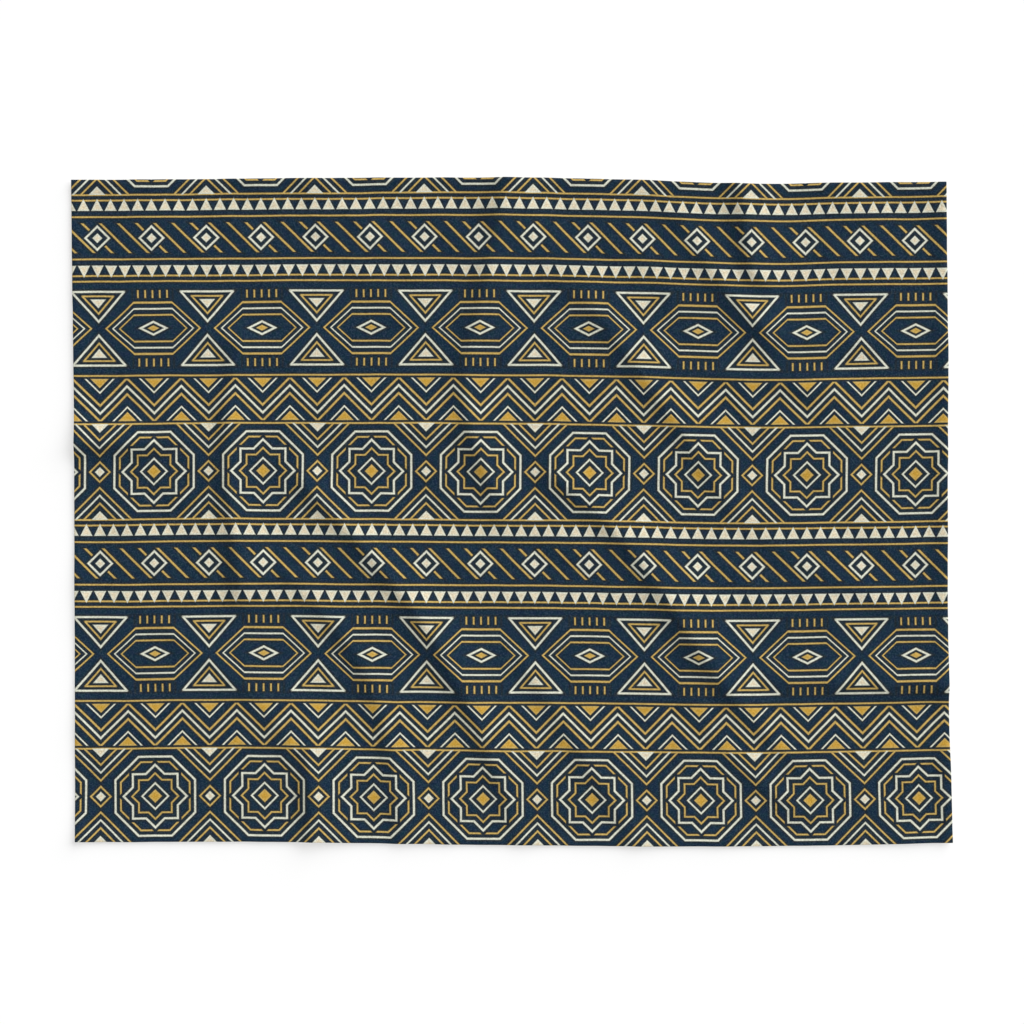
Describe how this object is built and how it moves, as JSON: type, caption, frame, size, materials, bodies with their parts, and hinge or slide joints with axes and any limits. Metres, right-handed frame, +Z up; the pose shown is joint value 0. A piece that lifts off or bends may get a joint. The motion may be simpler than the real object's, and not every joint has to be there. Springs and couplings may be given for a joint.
{
  "type": "fleece blanket",
  "caption": "Printed fleece throw blanket spread out flat, one thin sheet with soft folds across it.",
  "frame": {"origin": "middle of the blanket's box, on the floor it lies on", "axes": "+X along the blanket's long side, +Y along its short side, +Z up out of the printed face"},
  "size_m": [2.051, 1.5561, 0.0192],
  "materials": {
    "printed_fleece": "short brushed pile, printed with cream and gold line work on navy"
  },
  "bodies": {
    "root": {"blanket": "printed_fleece"}
  },
  "joints": []
}
